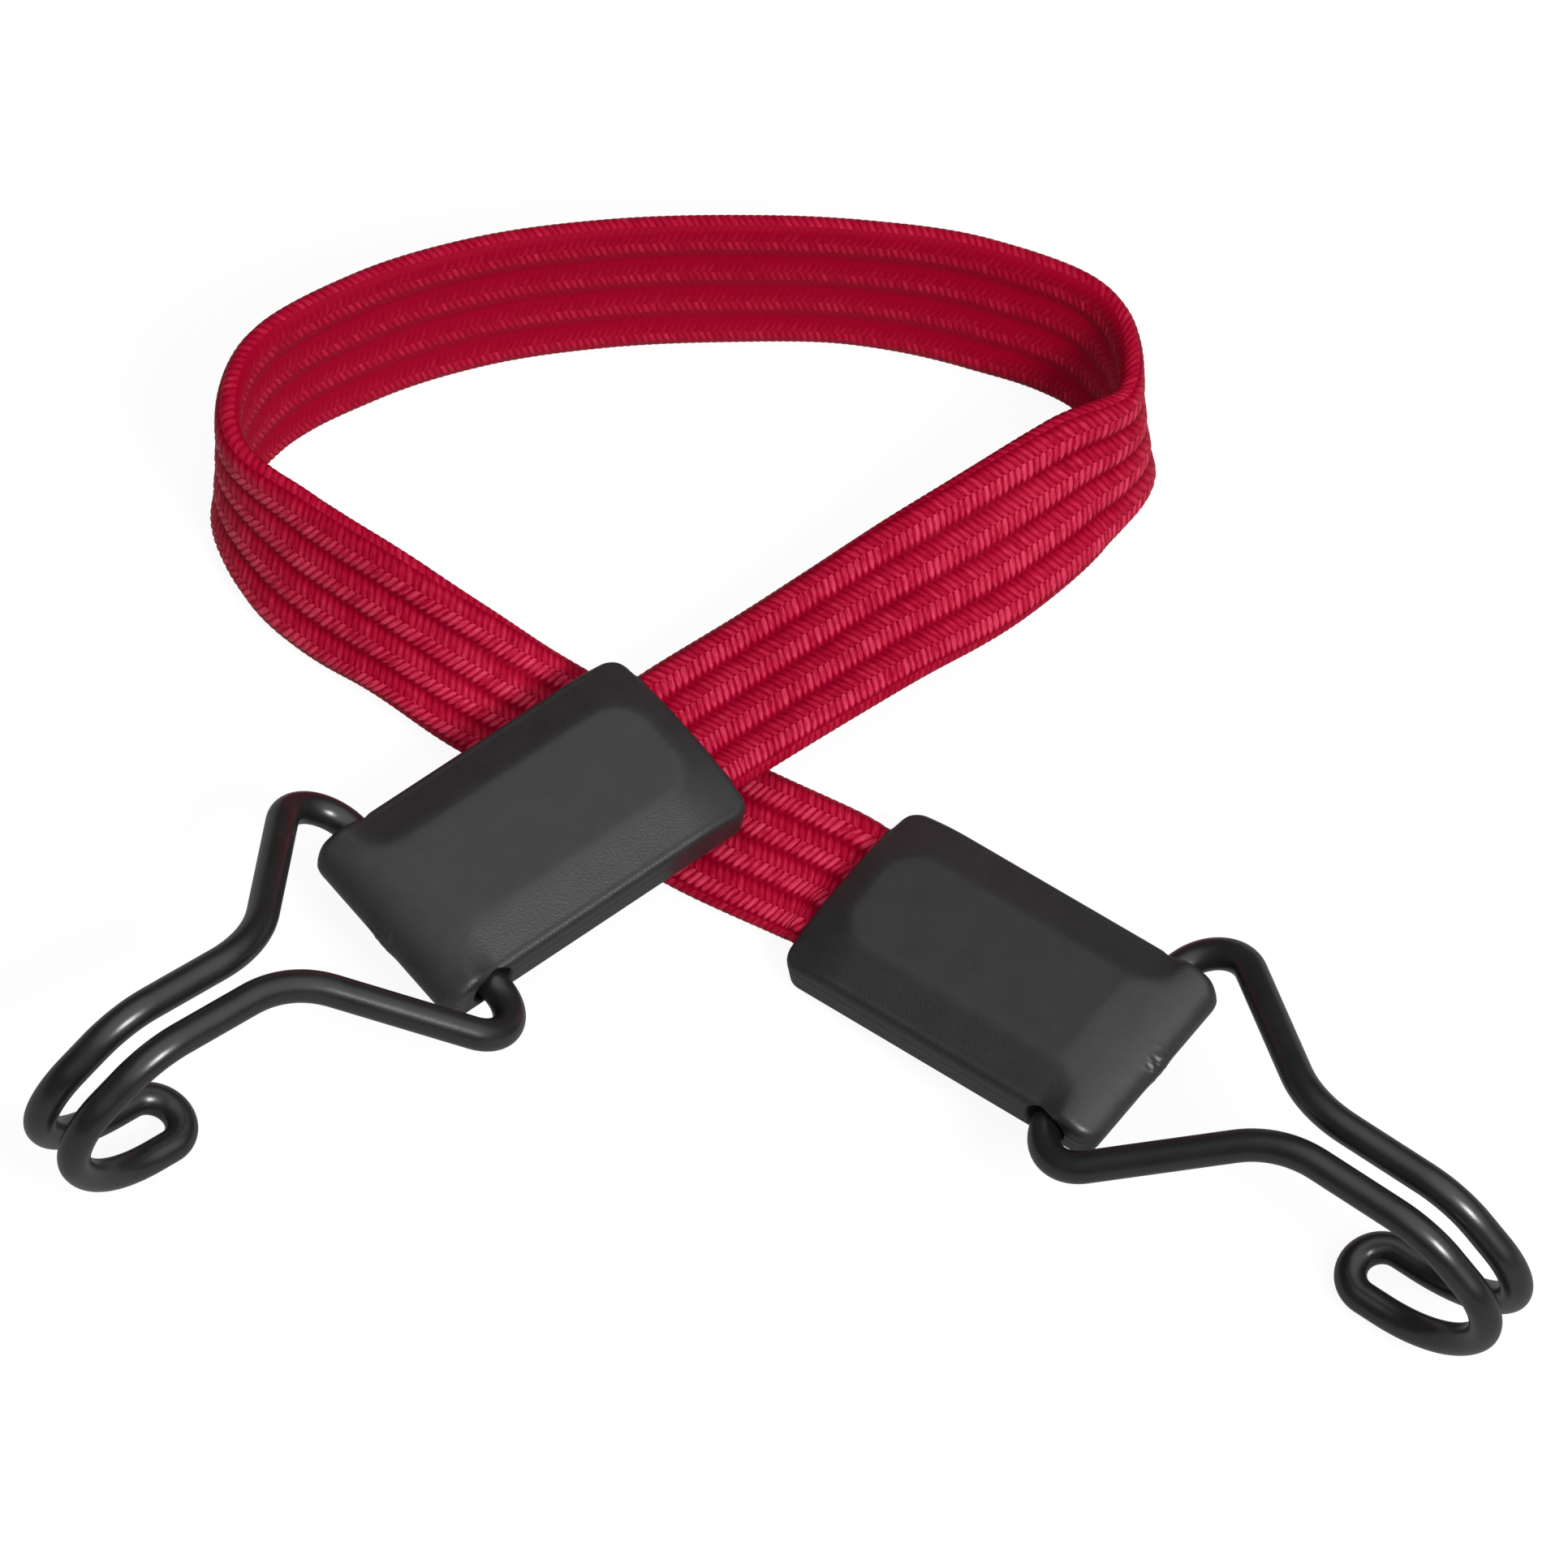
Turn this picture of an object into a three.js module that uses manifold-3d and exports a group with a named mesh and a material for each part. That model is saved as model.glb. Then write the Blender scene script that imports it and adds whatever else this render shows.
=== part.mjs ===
// Flat elastic bungee cord: a braided strap laid down in one loop, with a moulded pad
// and a double wire hook that swings in the pad at each end.
// Millimetres, +Z up. The cord lies on the plane z = 0, and the origin is on that plane
// under the middle of the two pads and hooks.
import * as THREE from 'three'
import { mergeVertices } from 'three/addons/utils/BufferGeometryUtils.js'
import Module from 'manifold-3d'

const wasm = await Module()
wasm.setup()

// Strap: a ribbed braided cover round flat rubber strands, one strand under each rib
const STRAP_WIDTH = 19.6
const STRAP_THICKNESS = 3.4
const RIB_DEPTH = 0.35
const EDGE_BLUNT = 0.6
const COVER_WALL = 0.65
const RIB_COUNT = 4
const STRAND_CLEARANCE = 0.3
const STRAP_INSERT = 16
const STRAP_LEAD = 3
const STEP_LENGTH = 9
const STEP_LEAN = 10
const STEP_TURN = 16

// Pad: one moulding, measured from the strap's middle plane
const PAD_LENGTH = 47.2
const PAD_WIDTH = 26.7
const PAD_TOP = 4.8
const PAD_BASE = 3.6
const PAD_CORNER = 2.4
const EDGE_ROUND = 1.1
const SHOULDER_HEIGHT = 2.75
const PLATEAU_WIDTH = 15.6
const PLATEAU_CORNER = 5.2
const LIP_RUN = 3.5
const CREASE_RADIUS = 5.2
const CREASE_BACK = 2
const NOSE_RUN = 9.1
const NOSE_LEVEL = 0.2
const NOSE_UNDERCUT = 3.2
const MOUTH_CLEARANCE = 0.3

// Pivot of the hook in the pad
const PIVOT_INSET = 7
const PIVOT_LEVEL = -0.2
const PIVOT_PLAY = 0.8
const BAR_GRIP = 4.4
const BAR_END_GAP = 0.7

// Hook: one wire, each half given by its corners from the pivot bar to the tip
const WIRE = 4
const WIRE_GAP = 1.9
const EYE_GAP = 3.5
const ARM_X = 0.2
const ARM_Z = -0.2
const ARM_BEND = 5.8
const NECK_X = 26.4
const NECK_Z = 12.6
const NECK_BEND = 16
const SHANK_X = 47.7
const SHANK_Z = 14.6
const SHANK_BEND = 10.9
const CROWN_X = 59.7
const CROWN_Z = 4.6
const CROWN_BEND = 9.3
const THROAT_X = 52.6
const THROAT_Z = -10.2
const THROAT_BEND = 16
const TIP_X = 37.2
const TIP_Z = -11.7
const BEND_STEP = 20
const WIRE_SIDES = 10

// How each end lies: turn, nose-up pitch and roll of the pad, the spread of the hook's arms,
// and how the hook hangs in the pad
const ENDS = {
  left: {
    place: [-29.35, 21.03, 9],
    turn: -140.9,
    pitch: 1.3,
    roll: 1,
    spread: 25,
    swing: -5.6,
    skew: 1,
    tilt: -0.7,
    shift: 0.4,
    farSide: -1,
  },
  right: {
    place: [27.35, 4.03, 8.93],
    turn: -38.1,
    pitch: 12.5,
    roll: 2.8,
    spread: 22.4,
    swing: 10.36,
    skew: -0.3,
    tilt: 1.1,
    shift: 0.3,
    farSide: 1,
  },
}

// Route of the strap from the left pad round the loop to the right pad: x, y, z of its middle
// and the lean of its outer face in degrees, 0 upright on an edge and 90 flat with that face up
const ROUTE = [
  [1.6, 45.2, 9, 92],
  [13.4, 53.8, 9.6, 86],
  [25.5, 62.5, 10, 62],
  [36.5, 71.9, 10.3, 41],
  [44.3, 79.9, 10.3, 15],
  [39.2, 92.2, 9.5, -21],
  [25.2, 98.2, 9.3, -24],
  [10, 100.4, 9.4, -19],
  [-5.7, 100.1, 9.4, -21],
  [-21.2, 98.6, 9.3, -22],
  [-36.4, 95.3, 9.3, -23],
  [-50.7, 89.5, 9.2, -24],
  [-63, 80.5, 9.4, -22],
  [-67, 68.9, 9.9, 0],
  [-59.8, 58.7, 9.1, 28],
  [-46.8, 49.5, 8.1, 37],
  [-34.4, 42.5, 4.6, 70],
  [-21.5, 36.7, 1.9, 92],
  [-7.8, 27.6, 2.4, 86],
]

const X_AXIS = new THREE.Vector3(1, 0, 0)
const Y_AXIS = new THREE.Vector3(0, 1, 0)
const Z_AXIS = new THREE.Vector3(0, 0, 1)
const rad = THREE.MathUtils.degToRad

const pivotX = PAD_LENGTH / 2 - PIVOT_INSET

// Materials
const materials = {
  braid: { color: 0xa80f2f, roughness: 0.75, metalness: 0 },
  rubber: { color: 0x2b2826, roughness: 0.9, metalness: 0 },
  pad: { color: 0x303133, roughness: 0.65, metalness: 0 },
  hook: { color: 0x17181a, roughness: 0.45, metalness: 0.2 },
}

function namedMesh(name, geometry, look) {
  const mesh = new THREE.Mesh(geometry, new THREE.MeshStandardMaterial(materials[look]))
  mesh.name = name
  return mesh
}

// Boolean work on closed geometries
function solid(geometry) {
  const bare = geometry.clone()
  bare.deleteAttribute('normal')
  bare.deleteAttribute('uv')
  const merged = mergeVertices(bare, 1e-4)
  const vertProperties = new Float32Array(merged.attributes.position.array)
  const triVerts = new Uint32Array(merged.index.array)
  return new wasm.Manifold(new wasm.Mesh({ numProp: 3, vertProperties, triVerts }))
}

function geometryOf(manifold) {
  const { vertProperties, triVerts } = manifold.getMesh()
  const geometry = new THREE.BufferGeometry()
  geometry.setAttribute('position', new THREE.BufferAttribute(vertProperties, 3))
  geometry.setIndex(new THREE.BufferAttribute(triVerts, 1))
  geometry.computeVertexNormals()
  return geometry
}

// A path with chosen stations, each with its point, tangent and, where the section must not
// turn freely, its normal
class StationPath extends THREE.Curve {
  constructor(stations) {
    super()
    this.stations = stations
  }
  get steps() {
    return this.stations.length - 1
  }
  station(u) {
    return this.stations[Math.round(u * this.steps)]
  }
  getPoint(t) {
    return this.station(t).point.clone()
  }
  getTangentAt(u) {
    return this.station(u).tangent.clone()
  }
  getSpacedPoints() {
    return this.stations.map((station) => station.point.clone())
  }
  computeFrenetFrames(steps, closed) {
    if (!this.stations[0].normal) return super.computeFrenetFrames(steps, closed)
    const tangents = this.stations.map((station) => station.tangent)
    const normals = this.stations.map((station) => station.normal)
    const binormals = tangents.map((tangent, i) => tangent.clone().cross(normals[i]))
    return { tangents, normals, binormals }
  }
}

function sweep(shape, path) {
  return new THREE.ExtrudeGeometry(shape, { steps: path.steps, extrudePath: path, curveSegments: 4 })
}

function outlineShape(outline) {
  return new THREE.Shape(outline.map(([x, y]) => new THREE.Vector2(x, y)))
}

function wireSection() {
  const outline = []
  for (let i = 0; i < WIRE_SIDES; i++) {
    const angle = (2 * Math.PI * i) / WIRE_SIDES
    outline.push([(WIRE / 2) * Math.cos(angle), (WIRE / 2) * Math.sin(angle)])
  }
  return outlineShape(outline)
}

// Pad: a slab with rounded edges under a bevelled plateau that widens at the hook end into
// a full-width nose, with a slot for the strap and a blind hole for the hook in each side
function padGeometry() {
  const halfLength = PAD_LENGTH / 2
  const halfWidth = PAD_WIDTH / 2
  const halfPlateau = PLATEAU_WIDTH / 2
  const bevelRun = halfWidth - halfPlateau - EDGE_ROUND
  const bevelDrop = PAD_TOP - SHOULDER_HEIGHT
  const plateauStart = LIP_RUN - halfLength
  const creaseX = pivotX - CREASE_BACK
  const clear = PAD_WIDTH

  const plan = new THREE.Shape()
  const planX = halfLength - EDGE_ROUND
  const planY = halfWidth - EDGE_ROUND
  const corner = PAD_CORNER - EDGE_ROUND
  plan.absarc(planX - corner, planY - corner, corner, 0, Math.PI / 2, false)
  plan.absarc(corner - planX, planY - corner, corner, Math.PI / 2, Math.PI, false)
  plan.absarc(corner - planX, corner - planY, corner, Math.PI, 1.5 * Math.PI, false)
  plan.absarc(planX - corner, corner - planY, corner, 1.5 * Math.PI, 2 * Math.PI, false)
  const rounded = {
    curveSegments: 4,
    bevelThickness: EDGE_ROUND,
    bevelSize: EDGE_ROUND,
    bevelSegments: 3,
  }
  const slab = new THREE.ExtrudeGeometry(plan, {
    ...rounded,
    depth: SHOULDER_HEIGHT + PAD_BASE - 2 * EDGE_ROUND,
  })
  slab.translate(0, 0, EDGE_ROUND - PAD_BASE)
  const block = new THREE.ExtrudeGeometry(plan, { ...rounded, depth: PAD_TOP + PAD_BASE })
  block.translate(0, 0, EDGE_ROUND - PAD_BASE)

  const rise = new THREE.Shape()
  rise.moveTo(plateauStart + PLATEAU_CORNER, -halfPlateau)
  rise.lineTo(creaseX, -halfPlateau)
  rise.absarc(creaseX, -halfPlateau - CREASE_RADIUS, CREASE_RADIUS, Math.PI / 2, 0, true)
  rise.lineTo(creaseX + CREASE_RADIUS, -clear)
  rise.lineTo(clear + halfLength, -clear)
  rise.lineTo(clear + halfLength, clear)
  rise.lineTo(creaseX + CREASE_RADIUS, clear)
  rise.absarc(creaseX, halfPlateau + CREASE_RADIUS, CREASE_RADIUS, 0, -Math.PI / 2, true)
  rise.lineTo(plateauStart + PLATEAU_CORNER, halfPlateau)
  const turnX = plateauStart + PLATEAU_CORNER
  const turnY = halfPlateau - PLATEAU_CORNER
  rise.absarc(turnX, turnY, PLATEAU_CORNER, Math.PI / 2, Math.PI, false)
  rise.absarc(turnX, -turnY, PLATEAU_CORNER, Math.PI, 1.5 * Math.PI, false)
  const plateau = new THREE.ExtrudeGeometry(rise, {
    depth: SHOULDER_HEIGHT,
    curveSegments: 6,
    bevelThickness: bevelDrop,
    bevelSize: bevelRun,
    bevelSegments: 1,
  })

  const side = new THREE.Shape()
  side.moveTo(-clear, -PAD_BASE)
  side.lineTo(halfLength - NOSE_UNDERCUT, -PAD_BASE)
  const undercut = PAD_BASE + NOSE_LEVEL
  side.absellipse(halfLength - NOSE_UNDERCUT, NOSE_LEVEL, NOSE_UNDERCUT, undercut, -Math.PI / 2, 0)
  side.absellipse(halfLength - NOSE_RUN, NOSE_LEVEL, NOSE_RUN, PAD_TOP - NOSE_LEVEL, 0, Math.PI / 2)
  side.lineTo(-clear, PAD_TOP)
  const nose = new THREE.ExtrudeGeometry(side, {
    depth: 2 * clear,
    bevelEnabled: false,
    curveSegments: 8,
  })
  nose.applyMatrix4(new THREE.Matrix4().makeBasis(X_AXIS, Z_AXIS, Y_AXIS.clone().negate()))
  nose.translate(0, clear, 0)

  const slotRound = STRAP_THICKNESS / 2 + MOUTH_CLEARANCE
  const slotFlat = STRAP_WIDTH / 2 + MOUTH_CLEARANCE - slotRound
  const slotSection = new THREE.Shape()
  slotSection.absarc(0, slotFlat, slotRound, 0, Math.PI, false)
  slotSection.absarc(0, -slotFlat, slotRound, Math.PI, 2 * Math.PI, false)
  const slot = new THREE.ExtrudeGeometry(slotSection, {
    depth: clear + STRAP_INSERT + MOUTH_CLEARANCE,
    bevelEnabled: false,
    curveSegments: 6,
  })
  slot.applyMatrix4(new THREE.Matrix4().makeBasis(Z_AXIS, Y_AXIS, X_AXIS.clone().negate()))
  slot.translate(STRAP_INSERT + MOUTH_CLEARANCE - halfLength, 0, 0)

  let body = solid(plateau).intersect(solid(block)).add(solid(slab)).intersect(solid(nose))
  body = body.subtract(solid(slot))
  for (const way of [-1, 1]) {
    const bore = new THREE.CylinderGeometry(WIRE / 2 + PIVOT_PLAY, WIRE / 2 + PIVOT_PLAY, clear, 20)
    const bottom = halfWidth - BAR_GRIP - BAR_END_GAP
    bore.translate(pivotX, way * (bottom + clear / 2), PIVOT_LEVEL)
    body = body.subtract(solid(bore))
  }
  return geometryOf(body)
}

// Hook: a round wire bent at each corner, from one end of the pivot bar to the other
function wireStations(corners) {
  const first = corners[0]
  const last = corners[corners.length - 1]
  const heading = (a, b) => b.point.clone().sub(a.point).normalize()
  const stations = [{ point: first.point, tangent: heading(first, corners[1]) }]
  for (let i = 1; i < corners.length - 1; i++) {
    const { point, bend } = corners[i]
    const into = heading(corners[i - 1], corners[i])
    const out = heading(corners[i], corners[i + 1])
    const angle = into.angleTo(out)
    const start = point.clone().addScaledVector(into, -bend * Math.tan(angle / 2))
    const centre = out.clone().sub(into).normalize().multiplyScalar(bend / Math.cos(angle / 2)).add(point)
    const axis = into.clone().cross(out).normalize()
    const arm = start.clone().sub(centre)
    const count = Math.ceil(THREE.MathUtils.radToDeg(angle) / BEND_STEP)
    for (let k = 0; k <= count; k++) {
      const turned = (angle * k) / count
      const spot = arm.clone().applyAxisAngle(axis, turned).add(centre)
      if (spot.distanceTo(stations[stations.length - 1].point) < WIRE_GAP / 10) continue
      stations.push({ point: spot, tangent: into.clone().applyAxisAngle(axis, turned) })
    }
  }
  stations.push({ point: last.point, tangent: heading(corners[corners.length - 2], last) })
  return stations
}

function hookGeometry(spread) {
  const near = (WIRE + WIRE_GAP) / 2
  const eye = (WIRE + EYE_GAP) / 2
  const half = [
    [0, PAD_WIDTH / 2 - BAR_GRIP, 0, 0],
    [ARM_X, spread, ARM_Z, ARM_BEND],
    [NECK_X, near, NECK_Z, NECK_BEND],
    [SHANK_X, near, SHANK_Z, SHANK_BEND],
    [CROWN_X, near, CROWN_Z, CROWN_BEND],
    [THROAT_X, eye, THROAT_Z, THROAT_BEND],
    [TIP_X, eye, TIP_Z, eye],
  ]
  const corner = (way) => ([x, y, z, bend]) => ({ point: new THREE.Vector3(x, way * y, z), bend })
  const corners = [...half.map(corner(1)), ...half.map(corner(-1)).reverse()]
  return sweep(wireSection(), new StationPath(wireStations(corners)))
}

// Each end is a group at the pad's middle, x towards the hook and z out of its plateau
function endGroup(name) {
  const end = ENDS[name]
  const group = new THREE.Group()
  group.position.set(...end.place)
  group.rotation.set(rad(end.roll), rad(-end.pitch), rad(end.turn), 'ZYX')
  group.add(namedMesh(`${name}_pad`, padGeometry(), 'pad'))
  const hook = namedMesh(`${name}_hook`, hookGeometry(end.spread), 'hook')
  hook.position.set(pivotX, end.shift, PIVOT_LEVEL)
  hook.rotation.set(rad(end.tilt), rad(end.swing), rad(end.skew), 'XZY')
  group.add(hook)
  group.updateMatrixWorld(true)
  return group
}

// Strap: it leaves each pad straight along the pad's middle, and its section is turned
// by the lean about the route
function leanOf(tangent, across) {
  const outward = tangent.clone().cross(Z_AXIS).normalize()
  const upright = outward.clone().cross(tangent)
  return Math.atan2(-across.dot(outward), across.dot(upright))
}

function mouthPoints(group, name, way) {
  const across = Y_AXIS.clone().multiplyScalar(ENDS[name].farSide).transformDirection(group.matrixWorld)
  const tangent = X_AXIS.clone().multiplyScalar(way).transformDirection(group.matrixWorld)
  const lean = leanOf(tangent, across)
  const inset = [STRAP_INSERT, 0, -STRAP_LEAD]
  return inset.map((x) => ({
    point: new THREE.Vector3(x - PAD_LENGTH / 2, 0, 0).applyMatrix4(group.matrixWorld),
    lean,
  }))
}

function strapPath(left, right) {
  const route = ROUTE.map(([x, y, z, lean]) => ({ point: new THREE.Vector3(x, y, z), lean: rad(lean) }))
  const knots = [
    ...mouthPoints(left, 'left', -1),
    ...route,
    ...mouthPoints(right, 'right', 1).reverse(),
  ]
  const spine = new THREE.CatmullRomCurve3(knots.map((knot) => knot.point))
  const last = knots.length - 1
  const stations = []
  for (let i = 0; i < last; i++) {
    const leanChange = knots[i + 1].lean - knots[i].lean
    const turn = spine.getTangent(i / last).angleTo(spine.getTangent((i + 1) / last))
    const count = Math.ceil(Math.max(
      knots[i].point.distanceTo(knots[i + 1].point) / STEP_LENGTH,
      Math.abs(leanChange) / rad(STEP_LEAN),
      turn / rad(STEP_TURN),
    ))
    for (let k = i === 0 ? 0 : 1; k <= count; k++) {
      const t = (i + k / count) / last
      const lean = knots[i].lean + leanChange * THREE.MathUtils.smoothstep(k / count, 0, 1)
      const tangent = spine.getTangent(t)
      const outward = tangent.clone().cross(Z_AXIS).normalize()
      const upright = outward.clone().cross(tangent)
      const across = upright.multiplyScalar(Math.cos(lean)).addScaledVector(outward, -Math.sin(lean))
      stations.push({ point: spine.getPoint(t), tangent, normal: across.clone().cross(tangent) })
    }
  }
  return new StationPath(stations)
}

// Section of the strap: x across its thickness, y across its width, flat-topped ribs and grooves
// on both faces, and one flat channel for the strands
function coverSection(pitch) {
  const crown = STRAP_THICKNESS / 2
  const edge = STRAP_WIDTH / 2
  const channel = crown - COVER_WALL
  const face = []
  const wall = []
  for (let i = 0; i < RIB_COUNT; i++) {
    const start = (i - RIB_COUNT / 2) * pitch
    if (i > 0) face.push([crown - RIB_DEPTH, start])
    face.push([crown, start + pitch / 4], [crown, start + (3 * pitch) / 4])
    wall.push([channel, start], [channel, start + pitch / 2])
  }
  wall.push([channel, (RIB_COUNT / 2) * pitch])
  const blunt = edge - EDGE_BLUNT
  const outline = [...face, [crown - EDGE_BLUNT, blunt], [0, edge], [EDGE_BLUNT - crown, blunt]]
  const cover = outlineShape([...outline, ...turnedOver(outline)])
  cover.holes.push(outlineShape([...wall, ...turnedOver(wall)]))
  return cover
}

function turnedOver(outline) {
  return outline.map(([x, y]) => [-x, -y])
}

// Section of a strand: flat faces with a point in the middle, and round edges
function strandSection(width, thickness) {
  const flat = (width - thickness) / 2
  const half = thickness / 2
  const outline = [[half, -flat], [half, 0], [half, flat], [0, width / 2]]
  return [...outline, ...turnedOver(outline)]
}

function strapMeshes(path) {
  const pitch = (STRAP_WIDTH - 2 * COVER_WALL) / RIB_COUNT
  const meshes = [namedMesh('strap_cover', sweep(coverSection(pitch), path), 'braid')]
  const thickness = STRAP_THICKNESS - 2 * COVER_WALL - 2 * STRAND_CLEARANCE
  const strand = strandSection(pitch - 2 * STRAND_CLEARANCE, thickness)
  for (let i = 0; i < RIB_COUNT; i++) {
    const middle = (i + 0.5 - RIB_COUNT / 2) * pitch
    const section = outlineShape(strand.map(([x, y]) => [x, y + middle]))
    meshes.push(namedMesh(`rubber_strand_${i + 1}`, sweep(section, path), 'rubber'))
  }
  return meshes
}

const cord = new THREE.Group()
const leftEnd = endGroup('left')
const rightEnd = endGroup('right')
cord.add(leftEnd, rightEnd, ...strapMeshes(strapPath(leftEnd, rightEnd)))

export default cord
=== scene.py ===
"""Bungee cord: a flat braided elastic strap lying in one loop, with a moulded pad and a double
wire hook at each end. Metres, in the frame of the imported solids."""
import bpy
import numpy as np
from mathutils import Matrix


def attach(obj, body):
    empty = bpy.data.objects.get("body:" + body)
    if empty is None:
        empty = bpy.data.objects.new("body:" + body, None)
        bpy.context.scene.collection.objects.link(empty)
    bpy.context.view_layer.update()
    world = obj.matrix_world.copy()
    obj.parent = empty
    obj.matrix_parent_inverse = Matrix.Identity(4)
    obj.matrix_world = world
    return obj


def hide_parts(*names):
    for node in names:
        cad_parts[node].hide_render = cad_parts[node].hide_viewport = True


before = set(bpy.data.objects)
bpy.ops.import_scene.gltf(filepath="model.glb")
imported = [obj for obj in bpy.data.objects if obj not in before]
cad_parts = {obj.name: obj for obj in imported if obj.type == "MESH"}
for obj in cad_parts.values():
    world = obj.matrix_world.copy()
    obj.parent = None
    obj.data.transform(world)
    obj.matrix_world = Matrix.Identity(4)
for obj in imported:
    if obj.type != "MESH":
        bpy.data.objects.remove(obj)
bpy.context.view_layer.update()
scene = bpy.context.scene
scene.view_settings.view_transform = "Standard"

# Camera: a long lens held high in front of the cord, so that the loop lies behind the crossing
# and both hooks come towards the viewer.
view_centre = np.array([0.00035, 0.02473, 0.01786])
view_right = np.array([0.9962, 0.0, 0.0872])
view_ahead = np.array([0.0766, 0.4771, -0.8755])
view_distance = 1.5
view_width = 0.18849
camera_data = bpy.data.cameras.new("camera")
camera_data.sensor_width = 36.0
camera_data.lens = camera_data.sensor_width * view_distance / view_width
camera_data.clip_start = 0.1
camera_data.clip_end = 20.0
camera = bpy.data.objects.new("camera", camera_data)
camera_pose = np.eye(4)
camera_pose[:3, 0] = view_right
camera_pose[:3, 1] = np.cross(view_right, view_ahead)
camera_pose[:3, 2] = -view_ahead
camera_pose[:3, 3] = view_centre - view_distance * view_ahead
camera.matrix_world = Matrix(camera_pose.tolist())
scene.collection.objects.link(camera)
scene.camera = camera

# Floor: a wide sheet of white paper that the cord lies on. To the eye it is nearly its own white,
# in reflections it is greyer, and it keeps a faint shadow under the cord.
floor_half = 3.0
floor_level = -0.0002
paper_white = (0.86, 0.86, 0.86, 1)
glow_share = 0.9
glow_in_mirrors = 0.26
glow_more_to_eye = 0.77
floor_corners = [(x * floor_half, y * floor_half, floor_level)
                 for x, y in ((-1, -1), (1, -1), (1, 1), (-1, 1))]
floor_mesh = bpy.data.meshes.new("floor")
floor_mesh.from_pydata(floor_corners, [], [(0, 1, 2, 3)])
floor = bpy.data.objects.new("floor", floor_mesh)
scene.collection.objects.link(floor)


def blank_tree(owner):
    """The shader tree of a material or a world, emptied."""
    owner.use_nodes = True
    owner.node_tree.nodes.clear()
    return owner.node_tree


def wire_up(tree, kind, settings=None, **inputs):
    """Adds one shader node, with its settings and its inputs. An input that is a socket is
    linked, and any other value is set on the input itself."""
    made = tree.nodes.new(kind)
    for name, value in (settings or {}).items():
        setattr(made, name, value)
    for name, value in inputs.items():
        name = name.replace("_", " ")
        socket = made.inputs[int(name[2:])] if name.startswith("no") else made.inputs[name]
        if isinstance(value, bpy.types.NodeSocket):
            tree.links.new(value, socket)
        else:
            socket.default_value = value
    return made


def sums(tree, operation, first, second=0.0, third=0.0):
    """One arithmetic step of a pattern: the operation on two or three numbers or sockets."""
    step = wire_up(tree, "ShaderNodeMath", {"operation": operation}, no0=first, no1=second, no2=third)
    return step.outputs[0]


paper = bpy.data.materials.new("white_paper")
tree = blank_tree(paper)
light_path = wire_up(tree, "ShaderNodeLightPath")
seen = sums(tree, "MAXIMUM", light_path.outputs["Is Camera Ray"], light_path.outputs["Is Glossy Ray"])
seen = sums(tree, "MAXIMUM", seen, light_path.outputs["Is Transmission Ray"])
seen = sums(tree, "MULTIPLY", seen, glow_share)
sheet = wire_up(tree, "ShaderNodeBsdfDiffuse", Color=paper_white)
glow_level = sums(tree, "MULTIPLY_ADD", light_path.outputs["Is Camera Ray"], glow_more_to_eye,
                  glow_in_mirrors)
glow = wire_up(tree, "ShaderNodeEmission", Color=(1, 1, 1, 1), Strength=glow_level)
both = wire_up(tree, "ShaderNodeMixShader", no0=seen, no1=sheet.outputs[0], no2=glow.outputs[0])
wire_up(tree, "ShaderNodeOutputMaterial", Surface=both.outputs[0])
floor_mesh.materials.append(paper)

# Light: a white room that is brighter overhead, a broad soft box in front on the right, and a weak
# fill on the left that is kept out of reflections, so that the pads stay dark on that side.
room_bright_way = (0.25, -0.04, 0.96)
room_dim_from = 0.42
room_bright_from = 0.95
room_dim = 0.07
room_bright = 1.02
world = bpy.data.worlds.new("white_room")
scene.world = world
tree = blank_tree(world)
light_path = wire_up(tree, "ShaderNodeLightPath")
room_way = wire_up(tree, "ShaderNodeTexCoord")
room_facing = wire_up(tree, "ShaderNodeVectorMath", {"operation": "DOT_PRODUCT"},
                      no0=room_way.outputs["Generated"], no1=room_bright_way)
room_level = wire_up(tree, "ShaderNodeMapRange", {"interpolation_type": "SMOOTHSTEP"},
                     Value=room_facing.outputs["Value"], From_Min=room_dim_from,
                     From_Max=room_bright_from, To_Min=room_dim, To_Max=room_bright)
strength = sums(tree, "MAXIMUM", room_level.outputs["Result"], light_path.outputs["Is Camera Ray"])
room = wire_up(tree, "ShaderNodeBackground", Color=(1, 1, 1, 1), Strength=strength)
wire_up(tree, "ShaderNodeOutputWorld", Surface=room.outputs[0])


def soft_box(name, place, aim, size, power):
    """A square lamp at a place, turned so that it faces the aim."""
    data = bpy.data.lights.new(name, "AREA")
    data.size = size
    data.energy = power
    lamp = bpy.data.objects.new(name, data)
    back = np.array(place, float) - np.array(aim, float)
    back /= np.linalg.norm(back)
    side = np.cross([0.0, 0.0, 1.0], back)
    side /= np.linalg.norm(side)
    pose = np.eye(4)
    pose[:3, 0] = side
    pose[:3, 1] = np.cross(back, side)
    pose[:3, 2] = back
    pose[:3, 3] = place
    lamp.matrix_world = Matrix(pose.tolist())
    scene.collection.objects.link(lamp)
    return lamp


soft_box("front_box", place=(0.64, -0.70, 1.08), aim=(0, 0.02, 0), size=0.40, power=14.0)
fill_box = soft_box("fill_box", place=(-0.60, 0.10, 0.95), aim=(0, 0.03, 0), size=0.5, power=1.6)
fill_box.visible_glossy = False

# Strap: a flat braid of crimson yarn over rubber strands, four ribs across on each face. Each rib
# is two rows of slanted floats that lock into each other, and one row rolls over each edge. Its
# ends are held in the slots of the pads.
pad_length = 0.0472
strap_lead = 0.003
strap_inside = 0.004
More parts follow.
